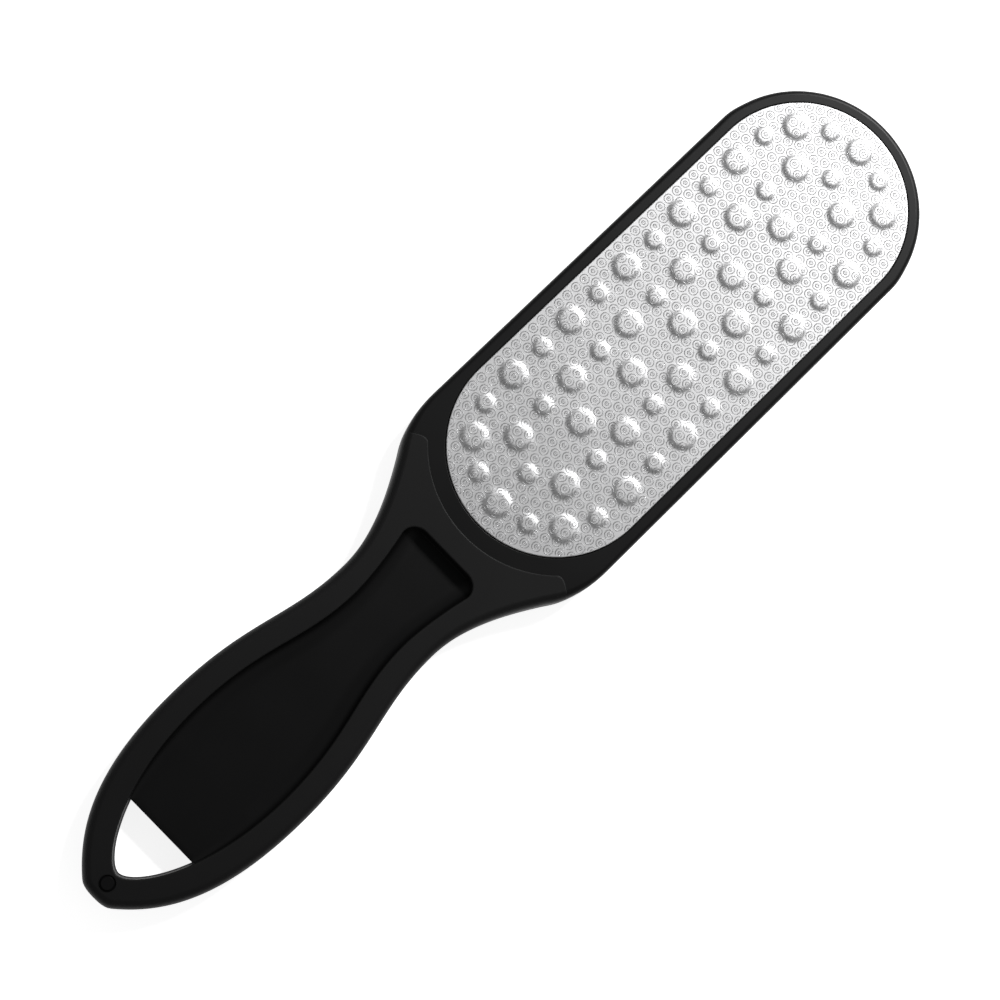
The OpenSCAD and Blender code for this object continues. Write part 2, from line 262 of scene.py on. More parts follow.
def triangles(lines: Sequence[Array], keep: Callable[[Array], Array]) -> tuple[Array, Array]:
    """Triangles between closed lines in a plane.

    Args:
        lines: Closed lines that the triangles' edges follow.
        keep: Says for each triangle's middle whether the triangle stays.

    Returns:
        The points, and each triangle's three points, anticlockwise from above.
    """
    spots, edges = [], []
    for line in lines:
        first = len(spots)
        spots += [Vector(point) for point in line]
        edges += [(first + i, first + (i + 1) % len(line)) for i in range(len(line))]
    found, _, faces, *_ = delaunay_2d_cdt(spots, edges, [], 0, SAME_POINT)
    places = np.array([point[:] for point in found])
    tris = np.array(faces)
    tris = tris[keep(places[tris].mean(axis=1))]
    a, b, c = (places[tris[:, i]] for i in range(3))
    area = (b - a)[:, 0] * (c - a)[:, 1] - (b - a)[:, 1] * (c - a)[:, 0]
    tris[area < 0] = tris[area < 0][:, ::-1]
    used, places_of = np.unique(tris[np.abs(area) > 0], return_inverse=True)
    return places[used], places_of.reshape(-1, 3)


def closed_body(spots: Array, tris: Array, top: Array, bottom: Array) -> Body:
    """A closed body between two height fields on the same triangles.

    Args:
        spots: Points of the plane.
        tris: Triangles, anticlockwise from above.
        top: Height of the upper surface at each point.
        bottom: Height of the lower surface at each point.

    Returns:
        The body's points and faces.
    """
    count = len(spots)
    points = np.concatenate([np.column_stack([spots, top]), np.column_stack([spots, bottom])])
    edges = np.concatenate([tris[:, [0, 1]], tris[:, [1, 2]], tris[:, [2, 0]]])
    known = {tuple(edge) for edge in edges.tolist()}
    rim = [(a, b) for a, b in known if (b, a) not in known]
    walls = [(a, a + count, b + count, b) for a, b in sorted(rim)]
    return points, tris.tolist() + (tris[:, ::-1] + count).tolist() + walls


@dataclass(frozen=True)
class Gauge:
    """The main sizes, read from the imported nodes."""

    length: float
    thickness: float
    head_w: float
    head_bottom: float
    head_top: float
    plate_x0: float
    plate_x1: float
    plate_w: float
    sheet_t: float
    film_t: float
    crest: float

    @classmethod
    def read(cls) -> "Gauge":
        """Measures the nodes' boxes.

        Returns:
            The sizes.
        """
        whole_low, whole_high = (corner / MM for corner in CAD_BOX)
        core_low, core_high = (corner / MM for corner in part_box("handle_core"))
        _, grip_high = (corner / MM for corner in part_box("soft_grip"))
        plate_low, plate_high = (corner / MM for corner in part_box("front_plate"))
        rear_low, rear_high = (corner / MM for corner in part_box("rear_plate"))
        film_low, film_high = (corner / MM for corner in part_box("rear_adhesive"))
        return cls(
            length=whole_high.x - whole_low.x,
            thickness=grip_high.z,
            head_w=core_high.y - core_low.y,
            head_bottom=core_low.z + BOSS_RISE,
            head_top=core_high.z - BOSS_RISE,
            plate_x0=plate_low.x - whole_low.x,
            plate_x1=plate_high.x - whole_low.x,
            plate_w=plate_high.y - plate_low.y,
            sheet_t=rear_high.z - rear_low.z,
            film_t=film_high.z - film_low.z,
            crest=plate_high.z,
        )

    @property
    def middle(self) -> float:
        """Height of the middle plane."""
        return self.thickness / 2

    @property
    def plate_r(self) -> float:
        """Radius of the plates' round ends."""
        return self.plate_w / 2

    def to_frame(self, points: Array) -> Array:
        """Points in the frame's metres, from points in the tool's millimetres."""
        return (points - np.array([self.length / 2, 0, 0])) * MM


@dataclass(frozen=True)
class Outline:
    """The tool's outline seen from above, and how its edges are rounded.

    Fields that end in shares set the two handles of a curve. They are shares of the corner's width and place
    at the tail, and of the curve's run along X elsewhere.
    """

    gauge: Gauge
    shoulder_run: float = 14.2
    tip_r: float = 28.6
    tip_turn: float = 73
    tip_run: float = 26.9
    tip_share: float = 1 / 3
    belly_x: float = 44.7
    belly_w: float = 41.2
    waist_x: float = 90.9
    waist_w: float = 28.9
    flank_back: float = 1.7
    flank_w: float = 48.3
    flank_angle: float = 31
    tail_corner: Pair = (1, 4.5)
    tail_flare: float = 50.5
    tail_shares: Pair = (0.53, 0.65)
    belly_shares: Pair = (0.276, 0.564)
    waist_shares: Pair = (0.48, 0.36)
    flank_shares: Pair = (0.41, 0.24)
    shoulder_shares: Pair = (0.11, 0.64)
    handle_edge_r: float = 2
    head_edge_r: float = 1.2
    steps: int = 44
    spacing: float = 0.8

    def half(self) -> Array:
        """The half on the positive side of the axis.

        Returns:
            Its points, from the tail to the tip.
        """
        length, half_w, steps = self.gauge.length, self.gauge.head_w / 2, self.steps
        corner = np.array(self.tail_corner, float)
        belly = np.array([self.belly_x, self.belly_w / 2])
        waist = np.array([self.waist_x, self.waist_w / 2])
        flank = np.array([self.gauge.plate_x0 - self.flank_back, self.flank_w / 2])
        shoulder = np.array([self.gauge.plate_x0 + self.shoulder_run, half_w])
        side_end = np.array([length - self.tip_run, half_w])
        tip = arc((length - self.tip_r, 0), self.tip_r, self.tip_turn, 0, steps)
        tip_reach = np.linalg.norm(tip[0] - side_end) * self.tip_share
        back = -self.tail_shares[1] * corner[0] / math.cos(math.radians(self.tail_flare))
        return np.concatenate([
            cubic((0, 0), (0, corner[1] * self.tail_shares[0]), step_to(corner, self.tail_flare, back),
                  corner, steps),
            curve(corner, self.tail_flare, belly, 0, self.belly_shares, steps),
            curve(belly, 0, waist, 0, self.waist_shares, steps),
            curve(waist, 0, flank, self.flank_angle, self.flank_shares, steps),
            curve(flank, self.flank_angle, shoulder, 0, self.shoulder_shares, steps),
            [shoulder],
            cubic(side_end, side_end + [tip_reach, 0], step_to(tip[0], self.tip_turn + 90, tip_reach), tip[0],
                  steps),
            tip,
        ])

    def line(self) -> Array:
        """The whole outline as a closed line with its inside on the left."""
        return turned_left(even(mirrored(self.half()), self.spacing))

    def edge_r(self, x: Array) -> Array:
        """Rounding of the edges, which eases from the handle's to the head's along the shoulders.

        Args:
            x: Places along the tool.

        Returns:
            The radius at each place.
        """
        start = self.gauge.plate_x0 - self.flank_back
        end = self.gauge.plate_x0 + self.shoulder_run
        share = smooth(np.clip((x - start) / (end - start), 0, 1))
        return self.handle_edge_r + (self.head_edge_r - self.handle_edge_r) * share


@dataclass(frozen=True)
class Zone:
    """The soft grip's zone seen from above: the handle, up to an arc round the plates and two horns."""

    gauge: Gauge
    collar_w: float = 4.1
    horn_run: float = 5.4
    horn_w: float = 4.1
    horn_back: float = 1.9
    horn_angle: float = 45
    horn_ease: float = 0.9
    horn_round: float = 0.6
    margin: float = 6
    collar_steps: int = 60
    horn_steps: int = 24
    spacing: float = 0.5

    def line(self) -> Array:
        """The zone, which runs outside the tool everywhere but at its front end.

        Returns:
            A closed line with even points.
        """
        gauge = self.gauge
        radius = gauge.plate_r + self.collar_w
        centre = (gauge.plate_x0 + gauge.plate_r, 0)
        turn = math.degrees(math.acos((gauge.plate_r - self.horn_run) / radius))
        corner = step_to(centre, 180 - turn, radius) + [-self.horn_back, self.horn_w]
        side = gauge.head_w / 2 + self.margin
        out = corner[0] - (side - corner[1]) / math.tan(math.radians(self.horn_angle))
        turn -= math.degrees(self.horn_ease / radius)
        collar = arc(centre, radius, 180, 180 - turn, self.collar_steps)
        start = collar[-1]
        ways = np.column_stack([step_to((0, 0), 90 - turn, 1), -step_to((0, 0), -self.horn_angle, 1)])
        reach = self.horn_round * np.linalg.solve(ways, corner - start)
        handles = step_to(start, 90 - turn, reach[0]), step_to(corner, -self.horn_angle, reach[1])
        half = np.concatenate([
            collar[:-1],
            cubic(start, *handles, corner, self.horn_steps),
            [corner, [out, side], [-self.margin, side]],
        ])
        return even(turned_left(mirrored(half)), self.spacing)


@dataclass(frozen=True)
class Pocket:
    """The thumb pockets' outline at the top of their wall, and the wall."""

    gauge: Gauge
    outline: Outline
    rim_w: float = 6.4
    tail_wall: float = 7.1
    end_back: float = 10
    end_w: float = 20.8
    corner_r: float = 4.1
    corner_share: float = 0.55
    end_share: float = 0.9
    neck_back_share: float = 0.42
    nose_shares: Pair = (0.29, 0.64)
    neck_shares: Pair = (0.48, 0.36)
    side_shares: Pair = (0.22, 0.4)
    flare: float = 13
    open_run: float = 12.3
    foot: float = 0.4
    lip_r: float = 0.3
    web_t: float = 2.8
    steps: int = 40
    spacing: float = 0.6

    def line(self, open_end: bool = False) -> Array:
        """The top edge as a closed line with its inside on the left.

        Args:
            open_end: Whether the sides run on straight through the end wall.

        Returns:
            The line's points.
        """
        shape, steps = self.outline, self.steps
        nose = np.array([self.tail_wall, 0])
        wide = np.array([shape.belly_x, shape.belly_w / 2 - self.rim_w])
        narrow = np.array([shape.waist_x - self.rim_w * self.neck_back_share, shape.waist_w / 2 - self.rim_w])
        bend = np.array([self.gauge.plate_x0 - self.end_back - self.corner_r, self.end_w / 2])
        end = np.array([self.gauge.plate_x0 - self.end_back, bend[1] - self.corner_r * self.end_share])
        nose_reach, wide_reach = wide[1] * self.nose_shares[0], (wide - nose)[0] * self.nose_shares[1]
        corner_reach = self.corner_r * self.corner_share
        half = np.concatenate([
            cubic(nose, nose + [0, nose_reach], wide - [wide_reach, 0], wide, steps),
            curve(wide, 0, narrow, 0, self.neck_shares, steps),
            curve(narrow, 0, bend, self.flare, self.side_shares, steps),
            [step_to(bend, self.flare, self.open_run)] if open_end else
            cubic(bend, step_to(bend, self.flare, corner_reach), end + [0, corner_reach], end, steps),
        ])
        return turned_left(even(mirrored(half), self.spacing))

    @property
    def floor(self) -> float:
        """Height of the pocket's floor in the front face."""
        return self.gauge.middle + self.web_t / 2

    def drop(self, into: Array) -> Array:
        """How far the grip lies below its face.

        Args:
            into: Distance from the pocket's top edge, positive in the pocket.

        Returns:
            The drop at each place.
        """
        wall_h = self.gauge.thickness - self.lip_r - self.floor
        share = 1 - np.clip(into / self.foot, 0, 1)
        wall = self.lip_r + wall_h * np.sqrt(np.maximum(1 - share ** 2, 0))
        return np.where(into > 0, wall, rounding(-into, self.lip_r))


def in_scene(name: str, data: ID) -> Object:
    """Makes an object in the scene.

    Args:
        name: The object's name.
        data: Its mesh, lamp or camera.

    Returns:
        The new object.
    """
    obj = bpy.data.objects.new(name, data)
    bpy.context.scene.collection.objects.link(obj)
    return obj


class Piece:
    """Makes and names the finished meshes."""

    @staticmethod
    def make(name: str, gauge: Gauge, body: Body, finish: "Finish", sharp: float = 40) -> Object:
        """A mesh object in the frame.

        Args:
            name: The piece's name.
            gauge: The main sizes.
            body: Points in the tool's millimetres, and faces with their outsides anticlockwise.
            finish: Finish of all faces.
            sharp: Angle in degrees from which an edge stays sharp.

        Returns:
            The new object.
        """
        points, faces = body
        mesh = bpy.data.meshes.new(name)
        mesh.from_pydata(gauge.to_frame(points).tolist(), [], faces)
        mesh.validate()
        mesh.shade_smooth()
        mesh.set_sharp_from_angle(angle=math.radians(sharp))
        mesh.materials.append(finish.material())
        return in_scene(name, mesh)

    @staticmethod
    def settle(obj: Object, slot: str, *nodes: str) -> None:
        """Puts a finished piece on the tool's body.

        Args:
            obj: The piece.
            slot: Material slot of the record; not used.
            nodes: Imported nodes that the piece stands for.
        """
        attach(obj, "root")
        if nodes:
            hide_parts(*nodes)
        LOG.info("%s: %d faces", obj.name, len(obj.data.polygons))


class Sockets:
    """Short ways to make and link nodes in one tree."""

    def __init__(self, tree: NodeTree) -> None:
        """Keeps the tree."""
        self.tree = tree

    @classmethod
    def of(cls, owner: ID) -> "Sockets":
        """Empties the tree of a material or world.

        Args:
            owner: The material or world.

        Returns:
            The helper for its tree.
        """
        owner.use_nodes = True
        owner.node_tree.nodes.clear()
        return cls(owner.node_tree)

    def put(self, socket: NodeSocket, value: object) -> None:
        """Links or sets an input.

        Args:
            socket: The input.
            value: A plain value, or the output that feeds it.
        """
        if isinstance(value, NodeSocket):
            self.tree.links.new(value, socket)
        else:
            socket.default_value = value

    def node(self, kind: str, inputs: dict[str | int, object] | None = None, **settings: object) -> Node:
        """A new node.

        Args:
            kind: Its type.
            inputs: What its inputs take, by their names or numbers.
            settings: Its options.

        Returns:
            The node.
        """
        made = self.tree.nodes.new(kind)
        for key, value in settings.items():
            setattr(made, key, value)
        for key, value in (inputs or {}).items():
            self.put(made.inputs[key], value)
        return made

    def out(self, *args: object, **settings: object) -> NodeSocket:
        """The first output of a new node."""
        return self.node(*args, **settings).outputs[0]

    def math(self, operation: str, *values: object) -> NodeSocket:
        """The result of a Math node."""
        return self.out("ShaderNodeMath", dict(enumerate(values)), operation=operation)

    def times(self, *values: object) -> NodeSocket:
        """The product of two or more values."""
        return reduce(lambda a, b: self.math("MULTIPLY", a, b), values)

    def vector(self, *values: object) -> NodeSocket:
        """A vector from its x, y and z, of which the last ones may be left out."""
        return self.out("ShaderNodeCombineXYZ", dict(enumerate(values)))

    def parts(self, vector: NodeSocket) -> NodeOutputs:
        """The X, Y and Z of a vector."""
        return self.node("ShaderNodeSeparateXYZ", {0: vector}).outputs

    def noise(self, place: NodeSocket, scale: object, detail: float = 2) -> NodeSocket:
        """The factor of a Noise texture."""
        made = self.node("ShaderNodeTexNoise", {"Vector": place, "Scale": scale, "Detail": detail})
        return made.outputs["Fac"]


def grain_group() -> NodeTree:
    """The shader group of a fine moulded or blasted grain.

    Returns:
        A group that takes a scale and a share of coarse grain, and gives a height and a tone.
    """
    known = bpy.data.node_groups.get("fine_grain")
    if known:
        return known
    tree = bpy.data.node_groups.new("fine_grain", "ShaderNodeTree")
    for way, names in (("INPUT", ("Scale", "Coarse")), ("OUTPUT", ("Height", "Tone"))):
        for name in names:
            tree.interface.new_socket(name, in_out=way, socket_type="NodeSocketFloat")
    kit = Sockets(tree)
    given = kit.node("NodeGroupInput").outputs
    place = kit.node("ShaderNodeTexCoord").outputs["Object"]
    fine = kit.noise(place, given["Scale"], detail=3)
    coarse = kit.noise(place, kit.times(given["Scale"], COARSE_GRAIN_SHARE))
    height = kit.math("ADD", fine, kit.times(coarse, given["Coarse"]))
    cloud = kit.noise(place, kit.times(given["Scale"], CLOUD_SHARE))
    kit.node("NodeGroupOutput", {"Height": height, "Tone": cloud})
    return tree


@dataclass(frozen=True)
class Finish:
    """A surface finish, with its grain."""

    name: str
    dark: Triple
    light: Triple
    rough: Pair
    metallic: float = 0
    specular: float = 0.5
    grain_scale: float = 2000
    coarse: float = 0.3
    grain_depth: float = 0.01
    grain_strength: float = 0.3

    def material(self) -> Material:
        """Builds the material with its nodes, or finds it.

        Returns:
            The material.
        """
        known = bpy.data.materials.get(self.name)
        if known:
            return known
        made = bpy.data.materials.new(self.name)
        kit = Sockets.of(made)
        grain = kit.node("ShaderNodeGroup", {"Scale": self.grain_scale, "Coarse": self.coarse},
                         node_tree=grain_group()).outputs
        tone = kit.node("ShaderNodeMix", {"Factor": grain["Tone"], "A": (*self.dark, 1),
                                          "B": (*self.light, 1)}, data_type="RGBA")
        rough = kit.out("ShaderNodeMapRange", {"Value": grain["Tone"], "To Min": self.rough[0],
                                               "To Max": self.rough[1]})
        bump = kit.out("ShaderNodeBump", {"Strength": self.grain_strength, "Distance": self.grain_depth * MM,
                                          "Height": grain["Height"]})
        shader = kit.out("ShaderNodeBsdfPrincipled", {
            "Metallic": self.metallic, "Specular IOR Level": self.specular, "Roughness": rough,
            "Base Color": tone.outputs["Result"], "Normal": bump,
        })
        kit.node("ShaderNodeOutputMaterial", {"Surface": shader})
        return made


HARD_PLASTIC = Finish("satin_black", (0.0022, 0.0022, 0.0023), (0.0036, 0.0036, 0.0037), (0.38, 0.44),
                      specular=0.19, grain_scale=2600, grain_depth=0.02, grain_strength=0.2)
SOFT_PLASTIC = Finish("soft_touch_black", (0.0027, 0.0027, 0.0028), (0.0041, 0.0041, 0.0042), (0.48, 0.56),
                      specular=0.21, grain_scale=3200, grain_depth=0.03, grain_strength=0.3)
NICKEL = Finish("satin_nickel", (0.54, 0.54, 0.545), (0.6, 0.6, 0.605), (0.46, 0.52), metallic=1,
                grain_scale=3600, coarse=0.8, grain_depth=0.03, grain_strength=0.2)
RING_NICKEL = Finish("ringed_nickel", (0.49, 0.49, 0.495), (0.55, 0.55, 0.555), (0.46, 0.52), metallic=1,
                     grain_scale=3600, coarse=0.8, grain_depth=0.02, grain_strength=0.1)
FILM = Finish("adhesive_film", (0.78, 0.75, 0.68), (0.88, 0.86, 0.79), (0.5, 0.6), grain_scale=800)


@dataclass
class Grip:
    """The soft moulding over the handle."""

    gauge: Gauge
    outline: Outline
    zone: Zone
    pocket: Pocket
    joint_r: float = 0.3
    boss_r: float = 1.95
    boss_guard: float = 0.2
    boss_depth: float = 0.55

    def build(self) -> None:
        """Makes the moulding as one closed body."""
        rim = self.outline.line()
        front = self.zone.line()
        opening = self.pocket.line()
        foot = inset(opening, self.pocket.foot)
        boss = circle((BOSS_X, 0), self.boss_r, BOSS_SIDES)
        spots, tris = triangles([
            *round_insets(rim, self.outline.edge_r(rim[:, 0])), *round_insets(front, self.joint_r),
            *hollow_insets(opening, self.pocket.foot), *round_insets(opening[::-1], self.pocket.lip_r)[1:],
            boss, inset(boss, STEP_WIDTH), inset(boss, -self.boss_guard),
        ], lambda p: (depth(p, rim) > 0) & (depth(p, front) > 0) & (depth(p, foot) < 0))
        drop = np.max([
            rounding(depth(spots, rim), self.outline.edge_r(spots[:, 0])),
            rounding(depth(spots, front), self.joint_r),
            self.pocket.drop(depth(spots, opening)),
            np.where(depth(spots, boss) > STEP_WIDTH / 2, self.boss_depth, 0),
        ], axis=0)
        body = closed_body(spots, tris, self.gauge.thickness - drop, drop)
        grip = Piece.make("soft_grip_moulding", self.gauge, body, SOFT_PLASTIC)
        Piece.settle(grip, "soft_plastic", "soft_grip")


@dataclass
class Core:
    """What shows of the hard moulding: the head, the web between the pockets and the boss."""

    gauge: Gauge
    outline: Outline
    zone: Zone
    pocket: Pocket
    seat_gap: float = 0.25
    seat_steps: int = 60
    edge_break: float = 0.12
    web_end_x: float = 20.6
    web_edge_r: float = 0.4
    web_tuck: float = 0.05
    fillet_w: float = 4.5
    fillet_h: float = 3.1
    fillet_start: float = 0.25
    fillet_run: float = 16
    boss_r: float = 1.9
    boss_crown_r: float = 1.4
    boss_fall: float = 0.3
    boss_lines: int = 6

    def seat(self, margin: float) -> Array:
        """The plates' outline with a margin.

        Args:
            margin: How far the line lies outside the plates.

        Returns:
            A closed line with its inside on the left.
        """
        gauge = self.gauge
        radius = gauge.plate_r + margin
        half = np.concatenate([
            arc((gauge.plate_x0 + gauge.plate_r, 0), radius, 180, 90, self.seat_steps),
            arc((gauge.plate_x1 - gauge.plate_r, 0), radius, 90, 0, self.seat_steps),
        ])
        return turned_left(even(mirrored(half), self.outline.spacing))

    def head(self) -> None:
        """Makes the head, with a seat in each face."""
        gauge = self.gauge
        rim = self.outline.line()
        front = self.zone.line()
        seat = self.seat(self.seat_gap)
        spots, tris = triangles([
            *round_insets(rim, self.outline.edge_r(rim[:, 0])), front,
            *round_insets(seat[::-1], self.edge_break), inset(seat, STEP_WIDTH),
        ], lambda p: (depth(p, rim) > 0) & (depth(p, front) < 0))
        into = depth(spots, seat)
        seat_drop = gauge.head_top - (gauge.thickness - gauge.sheet_t - gauge.film_t)
        drop = np.maximum(
            rounding(depth(spots, rim), self.outline.edge_r(spots[:, 0])),
            np.where(into > STEP_WIDTH / 2, seat_drop, rounding(-into, self.edge_break)),
        )
        body = closed_body(spots, tris, gauge.head_top - drop, gauge.head_bottom + drop)
        head = Piece.make("hard_head", gauge, body, HARD_PLASTIC)
        Piece.settle(head, "hard_plastic", "handle_core")

    def fillet(self, x: Array) -> Array:
        """Share of the full fillet along the pocket's sides, which grows from the hang hole on."""
        return np.interp(x, (self.web_end_x, self.web_end_x + self.fillet_run), (self.fillet_start, 1))

    def web(self) -> None:
        """Makes the web between the two pockets, with its straight end at the hang hole."""
        opening = inset(self.pocket.line(), self.web_tuck)
        sides = self.pocket.line(open_end=True)
        fillet = hollow_insets(sides, self.fillet_w * self.fillet(sides[:, 0]))[:-1]
        side, end = self.gauge.head_w, self.gauge.length
        cuts = [self.web_end_x + self.web_edge_r * share for share in ROUND_SHARES]
        boxes = [np.array([[x, -side], [end, -side], [end, side], [x, side]]) for x in cuts]
        spots, tris = triangles([opening, *fillet, *boxes],
                                lambda p: (depth(p, opening) > 0) & (p[:, 0] > self.web_end_x))
        full = self.fillet(spots[:, 0])
        share = 1 - np.clip(depth(spots, sides) / (self.fillet_w * full), 0, 1)
        top = self.pocket.floor - rounding(spots[:, 0] - self.web_end_x, self.web_edge_r)
        top += self.fillet_h * full * (1 - np.sqrt(1 - share ** 2))
        body = closed_body(spots, tris, top, 2 * self.gauge.middle - top)
        web = Piece.make("pocket_web", self.gauge, body, HARD_PLASTIC)
        Piece.settle(web, "hard_plastic")

    def boss(self) -> None:
        """Makes the locating boss at the tail, with a rounded shoulder at each face."""
        rings = [circle((BOSS_X, 0), r, BOSS_SIDES)
                 for r in np.linspace(self.boss_crown_r, self.boss_r, self.boss_lines)]
        spots, tris = triangles(rings, lambda p: depth(p, rings[-1]) > 0)
        away = np.linalg.norm(spots - [BOSS_X, 0], axis=1)
        share = np.clip((away - self.boss_crown_r) / (self.boss_r - self.boss_crown_r), 0, 1)
        drop = BOSS_RISE + self.boss_fall * share * (2 - share)
        body = closed_body(spots, tris, self.gauge.thickness - drop, drop)
        boss = Piece.make("tail_boss", self.gauge, body, HARD_PLASTIC)
        Piece.settle(boss, "hard_plastic")

    def build(self) -> None:
        """Makes the pieces that show."""
        self.head()
        self.web()
        self.boss()


@dataclass(frozen=True)
class Dome:
    """One kind of pressed dome: a low crown, a flank, and a faint skirt round its foot."""

    foot_r: float
    top_r: float
    height: float
    sides: int
    crown_share: float = 0.05
    skirt_share: float = 0.12
    skirt_w: float = 1.15
    skirt_lines: int = 3
    flank_lines: int = 7
    crown_line_shares: Triple = (0.82, 0.6, 0.3)

    def rings(self, place: Point) -> list[Array]:
        """The circles that the dome's mesh follows.

        Args:
            place: The dome's middle.

        Returns:
            Closed lines, from the outside in.
        """
        radii = [
            *np.linspace(self.foot_r + self.skirt_w, self.foot_r, self.skirt_lines, endpoint=False),
            *np.linspace(self.foot_r, self.top_r, self.flank_lines),
            *(self.top_r * share for share in self.crown_line_shares),
        ]
        return [circle(place, r, self.sides) for r in radii]

    def rise(self, away: Array) -> Array:
        """Height over the sheet.

        Args:
            away: Distances from the dome's middle.

        Returns:
            The height at each distance.
        """
        skirt_r = self.foot_r + self.skirt_w
        flank = smooth(np.clip((self.foot_r - away) / (self.foot_r - self.top_r), 0, 1))
        crown = np.clip(1 - (away / self.top_r) ** 2, 0, 1)
        skirt = np.clip((skirt_r - away) / (skirt_r - self.top_r), 0, 1) ** 2
        flank_share = 1 - self.crown_share - self.skirt_share
        return self.height * (flank * flank_share + crown * self.crown_share + skirt * self.skirt_share)


class RingNodes(Sockets):
    """The nodes that lay rings on a sheet in a hexagonal lattice."""

    ring_sides = 12
    inner_ring_sides = 8
    ridge_sides = 4
    dot_sides = 6
    dot_shares = (0.6, 0.2)
    sink_share = 3
    ray_start = 100
    ray_length = 200

    def __init__(self, tree: NodeTree) -> None:
        """Keeps the tree, its inputs, and the X, Y and Z of a place, counted from the plate's middle.

        Args:
            tree: The tree, with its inputs and its output.
        """
        super().__init__(tree)
        self.given = self.node("NodeGroupInput").outputs
        self.place = self.parts(self.out("GeometryNodeInputPosition"))

    def lattice(self) -> NodeSocket:
        """Makes the lattice's points, with every other row half a pitch on.

        Returns:
            The points.
        """
        given, sizes = self.given, {}
        reach = self.math("ADD", given["End X"], given["End Radius"])
        for way, far, step in (("X", reach, given["Pitch"]),
                               ("Y", given["End Radius"], given["Row Spacing"])):
            count = self.math("ADD", self.math("CEIL", self.math("DIVIDE", far, step)), 1.0)
            sizes["Size " + way] = self.times(count, 2.0, step)
            sizes["Vertices " + way] = self.math("ADD", self.times(count, 2.0), 1.0)
        grid = self.out("GeometryNodeMeshGrid", sizes)
        row = self.math("ROUND", self.math("DIVIDE", self.place["Y"], given["Row Spacing"]))
        odd = self.math("ABSOLUTE", self.math("MODULO", row, 2.0))
        along = self.vector(self.times(odd, 0.5, given["Pitch"]))
        shift = self.out("ShaderNodeVectorMath", {0: along, 1: given["Shift"]}, operation="ADD")
        return self.out("GeometryNodeSetPosition", {"Geometry": grid, "Offset": shift})

    def drawn_in(self) -> dict[str, NodeSocket]:
        """Brings the place back to the plate's round-ended outline.

        Returns:
            The distance past the outline, below zero inside it, and the place's own x and y inside it.
        """
        end, radius, x, y = self.given["End X"], self.given["End Radius"], self.place["X"], self.place["Y"]
        spine = self.math("MINIMUM", self.math("MAXIMUM", x, self.times(end, -1.0)), end)
        off_x = self.math("SUBTRACT", x, spine)
        length = self.math("SQRT", self.math("ADD", self.times(off_x, off_x), self.times(y, y)))
        share = self.math("DIVIDE", radius, self.math("MAXIMUM", length, SAME_POINT * MM))
        share = self.math("MINIMUM", share, 1.0)
        return {
            "over": self.math("SUBTRACT", length, radius),
            "x": self.math("ADD", spine, self.times(off_x, share)),
            "y": self.times(y, share),
        }

    def ridge(self, radius: str, sides: int) -> NodeSocket:
        """Makes one round ridge with a low section.

        Args:
            radius: The input that holds the ridge's radius.
            sides: The ridge's number of sides.

        Returns:
            The ridge.
        """
        kind, width = "GeometryNodeCurvePrimitiveCircle", self.given["Ridge Width"]
        line = self.out(kind, {"Resolution": sides, "Radius": self.given[radius]})
        section = self.out(kind, {"Resolution": self.ridge_sides, "Radius": self.times(width, 0.5)})
        sweep = self.out("GeometryNodeCurveToMesh", {"Curve": line, "Profile Curve": section})
        flat = self.math("DIVIDE", self.times(self.given["Ridge Height"], 2.0), width)
        return self.out("GeometryNodeTransform", {"Geometry": sweep, "Scale": self.vector(1.0, 1.0, flat)})

    def dot(self) -> NodeSocket:
        """Makes the small point in the middle of a ring.

        Returns:
            The point.
        """
        bottom, top = (self.times(self.given["Ridge Width"], share) for share in self.dot_shares)
        return self.out("GeometryNodeMeshCone", {"Vertices": self.dot_sides, "Radius Bottom": bottom,
                                                 "Radius Top": top, "Depth": self.given["Ridge Height"]})

    def on_sheet(self, edge: dict[str, NodeSocket]) -> NodeSocket:
        """Lays the place on the sheet, and sinks it where it was drawn in to the outline.

        Args:
            edge: The place drawn in to the outline.

        Returns:
            The new place.
        """
        facing = self.given["Facing"]
        sheet = self.node("GeometryNodeObjectInfo", {"Object": self.given["Sheet"]},
                          transform_space="ORIGINAL")
        ray = self.node("GeometryNodeRaycast", {
            "Target Geometry": sheet.outputs["Geometry"],
            "Source Position": self.vector(edge["x"], edge["y"], self.times(facing, self.ray_start * MM)),
            "Ray Direction": self.vector(0.0, 0.0, self.times(facing, -1.0)),
            "Ray Length": self.ray_length * MM,
        })
        past = self.math("GREATER_THAN", edge["over"], 0.0)
        sunk = self.times(past, -self.sink_share, self.given["Ridge Height"])
        lift = self.times(self.math("ADD", self.place["Z"], sunk), facing)
        hit = self.parts(ray.outputs["Hit Position"])["Z"]
        return self.vector(edge["x"], edge["y"], self.math("ADD", hit, lift))

    def build(self) -> None:
        """Makes all the nodes."""
        edge = self.drawn_in()
        past = self.math("GREATER_THAN", edge["over"], self.given["Inner Radius"])
        kept = self.out("GeometryNodeDeleteGeometry", {"Geometry": self.lattice(), "Selection": past},
                        domain="POINT")
        ring = self.node("GeometryNodeJoinGeometry")
        for shape in (self.ridge("Ring Radius", self.ring_sides),
                      self.ridge("Inner Radius", self.inner_ring_sides), self.dot()):
            self.put(ring.inputs[0], shape)
        spread = self.out("GeometryNodeInstanceOnPoints", {"Points": kept, "Instance": ring.outputs[0]})
        real = self.out("GeometryNodeRealizeInstances", {"Geometry": spread})
        laid = self.out("GeometryNodeSetPosition", {"Geometry": real, "Position": self.on_sheet(edge)})
        dress = self.out("GeometryNodeSetMaterial", {"Geometry": laid, "Material": self.given["Finish"]})
        self.node("NodeGroupOutput", {"Geometry": dress})


